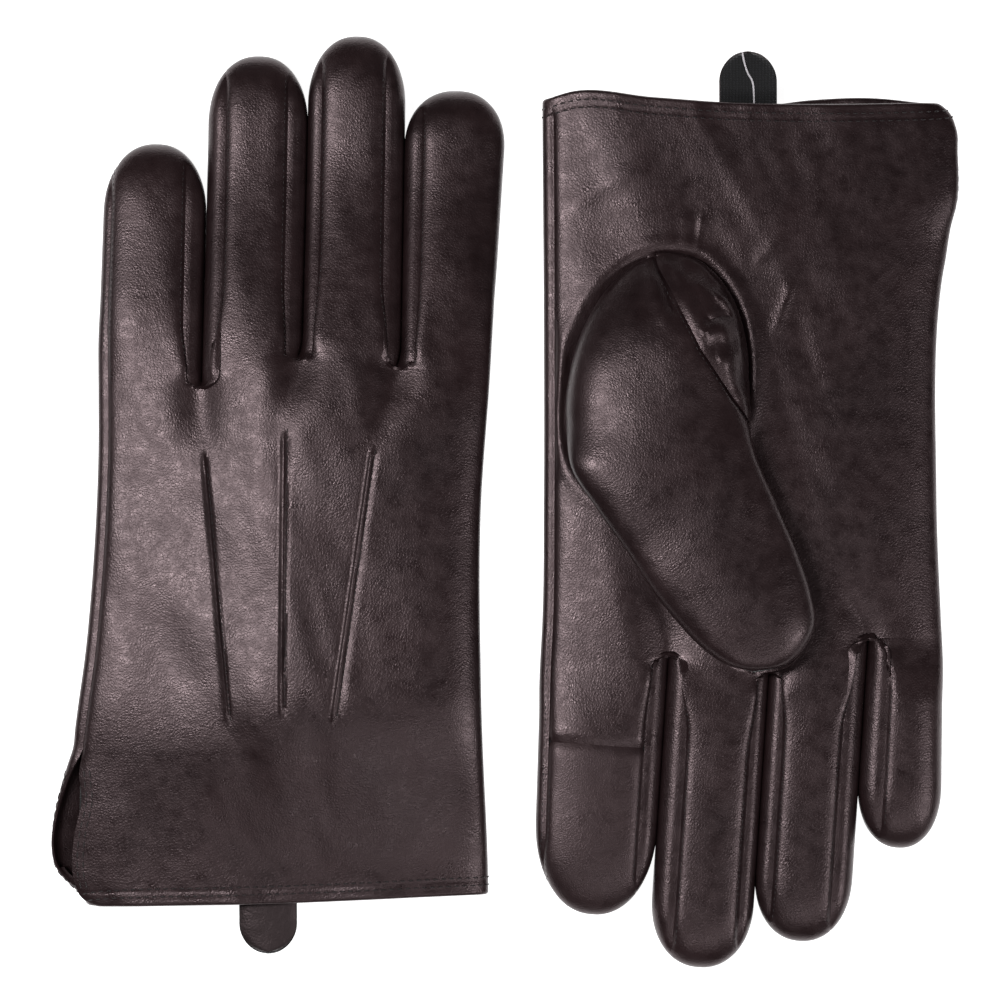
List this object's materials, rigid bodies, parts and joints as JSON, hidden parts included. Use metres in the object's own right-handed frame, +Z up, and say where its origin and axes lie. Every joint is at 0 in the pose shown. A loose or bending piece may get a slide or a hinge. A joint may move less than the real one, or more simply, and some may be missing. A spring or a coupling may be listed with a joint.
{
  "type": "pair of touchscreen gloves",
  "caption": "Pair of dark brown leather gloves with side strips between the fingers, raised tucks, a touch patch on the index fingertip and a vented cuff.",
  "frame": {"origin": "centre of the pair's bounding box, on the surface that the gloves lie on", "axes": "+X from the left glove to the right glove, +Y towards the left glove's fingertips, +Z up"},
  "size_m": [0.2562, 0.2628, 0.0288],
  "materials": {
    "dark_brown_leather": "smooth sheepskin, semi gloss",
    "touch_patch_leather": "conductive leather, semi gloss",
    "tab_leather": "grained, matt",
    "black_lining": "soft knit, matt"
  },
  "bodies": {
    "right_hand": {"right_back_panel": "dark_brown_leather", "right_fork_little_ring": "dark_brown_leather", "right_fork_middle_index": "dark_brown_leather", "right_fork_ring_middle": "dark_brown_leather", "right_hand_lining": "black_lining", "right_palm_panel": "dark_brown_leather"},
    "right_index_finger": {"right_index_back": "dark_brown_leather", "right_index_lining": "black_lining", "right_index_side_to_middle": "dark_brown_leather", "right_index_touch_patch": "touch_patch_leather"},
    "right_middle_finger": {"right_middle_back": "dark_brown_leather", "right_middle_lining": "black_lining", "right_middle_palm": "dark_brown_leather", "right_middle_side_to_index": "dark_brown_leather", "right_middle_side_to_ring": "dark_brown_leather"},
    "right_ring_finger": {"right_ring_back": "dark_brown_leather", "right_ring_lining": "black_lining", "right_ring_palm": "dark_brown_leather", "right_ring_side_to_little": "dark_brown_leather", "right_ring_side_to_middle": "dark_brown_leather"},
    "right_little_finger": {"right_little_back": "dark_brown_leather", "right_little_lining": "black_lining", "right_little_palm": "dark_brown_leather", "right_little_side_to_ring": "dark_brown_leather"},
    "right_thumb": {"right_thumb_inner": "dark_brown_leather", "right_thumb_lining": "black_lining", "right_thumb_outer": "dark_brown_leather"},
    "right_tab": {"right_tab_backing": "black_lining", "right_tab_leather": "tab_leather"},
    "left_hand": {"left_back_panel": "dark_brown_leather", "left_fork_little_ring": "dark_brown_leather", "left_fork_middle_index": "dark_brown_leather", "left_fork_ring_middle": "dark_brown_leather", "left_hand_lining": "black_lining", "left_palm_panel": "dark_brown_leather"},
    "left_index_finger": {"left_index_back": "dark_brown_leather", "left_index_lining": "black_lining", "left_index_side_to_middle": "dark_brown_leather", "left_index_touch_patch": "touch_patch_leather"},
    "left_middle_finger": {"left_middle_back": "dark_brown_leather", "left_middle_lining": "black_lining", "left_middle_palm": "dark_brown_leather", "left_middle_side_to_index": "dark_brown_leather", "left_middle_side_to_ring": "dark_brown_leather"},
    "left_ring_finger": {"left_ring_back": "dark_brown_leather", "left_ring_lining": "black_lining", "left_ring_palm": "dark_brown_leather", "left_ring_side_to_little": "dark_brown_leather", "left_ring_side_to_middle": "dark_brown_leather"},
    "left_little_finger": {"left_little_back": "dark_brown_leather", "left_little_lining": "black_lining", "left_little_palm": "dark_brown_leather", "left_little_side_to_ring": "dark_brown_leather"},
    "left_thumb": {"left_thumb_inner": "dark_brown_leather", "left_thumb_lining": "black_lining", "left_thumb_outer": "dark_brown_leather"},
    "left_tab": {"left_tab_backing": "black_lining", "left_tab_leather": "tab_leather"}
  },
  "joints": [
    {"name": "left_glove_lift", "type": "slide", "parent": "right_hand", "child": "left_hand", "axis": [0, 0, 1], "range_m": [0, 0.15]},
    {"name": "right_index_bend", "type": "hinge", "parent": "right_hand", "child": "right_index_finger", "pos_m": [0.02767, -0.0685, 0.0144], "axis": [-0.9978, 0.0663, 0], "range_deg": [0, 85], "stiffness_Nm_per_rad": 0.01},
    {"name": "right_middle_bend", "type": "hinge", "parent": "right_hand", "child": "right_middle_finger", "pos_m": [0.05941, -0.0735, 0.0144], "axis": [-0.9978, 0.0663, 0], "range_deg": [0, 85], "stiffness_Nm_per_rad": 0.01},
    {"name": "right_ring_bend", "type": "hinge", "parent": "right_hand", "child": "right_ring_finger", "pos_m": [0.08762, -0.0695, 0.0144], "axis": [-0.9978, 0.0663, 0], "range_deg": [0, 85], "stiffness_Nm_per_rad": 0.01},
    {"name": "right_little_bend", "type": "hinge", "parent": "right_hand", "child": "right_little_finger", "pos_m": [0.11339, -0.0575, 0.0144], "axis": [-0.9978, 0.0663, 0], "range_deg": [0, 85], "stiffness_Nm_per_rad": 0.01},
    {"name": "right_thumb_unfold", "type": "hinge", "parent": "right_hand", "child": "right_thumb", "pos_m": [0.0163, 0.0225, 0.0115], "axis": [0, -1, 0], "range_deg": [0, 90], "stiffness_Nm_per_rad": 0.01},
    {"name": "right_tab_flex", "type": "hinge", "parent": "right_hand", "child": "right_tab", "pos_m": [0.0696, 0.1055, 0.0068], "axis": [1, 0, 0], "range_deg": [-20, 20], "stiffness_Nm_per_rad": 0.002},
    {"name": "left_index_bend", "type": "hinge", "parent": "left_hand", "child": "left_index_finger", "pos_m": [-0.01426, 0.068, 0.00356], "axis": [-0.9998, 0.0175, 0], "range_deg": [0, 85], "stiffness_Nm_per_rad": 0.01},
    {"name": "left_middle_bend", "type": "hinge", "parent": "left_hand", "child": "left_middle_finger", "pos_m": [-0.04145, 0.073, 0.00265], "axis": [-0.9998, 0.0175, 0], "range_deg": [0, 85], "stiffness_Nm_per_rad": 0.01},
    {"name": "left_ring_bend", "type": "hinge", "parent": "left_hand", "child": "left_ring_finger", "pos_m": [-0.06926, 0.069, 0.00337], "axis": [-0.9998, 0.0175, 0], "range_deg": [0, 85], "stiffness_Nm_per_rad": 0.01},
    {"name": "left_little_bend", "type": "hinge", "parent": "left_hand", "child": "left_little_finger", "pos_m": [-0.09844, 0.057, 0.00424], "axis": [-0.9998, 0.0175, 0], "range_deg": [0, 85], "stiffness_Nm_per_rad": 0.01},
    {"name": "left_thumb_unfold", "type": "hinge", "parent": "left_hand", "child": "left_thumb", "pos_m": [-0.0083, -0.023, 0.01251], "axis": [0, -1, 0], "range_deg": [0, 90], "stiffness_Nm_per_rad": 0.01},
    {"name": "left_tab_flex", "type": "hinge", "parent": "left_hand", "child": "left_tab", "pos_m": [-0.0659, -0.106, 0.0072], "axis": [1, 0, 0], "range_deg": [-20, 20], "stiffness_Nm_per_rad": 0.002}
  ]
}
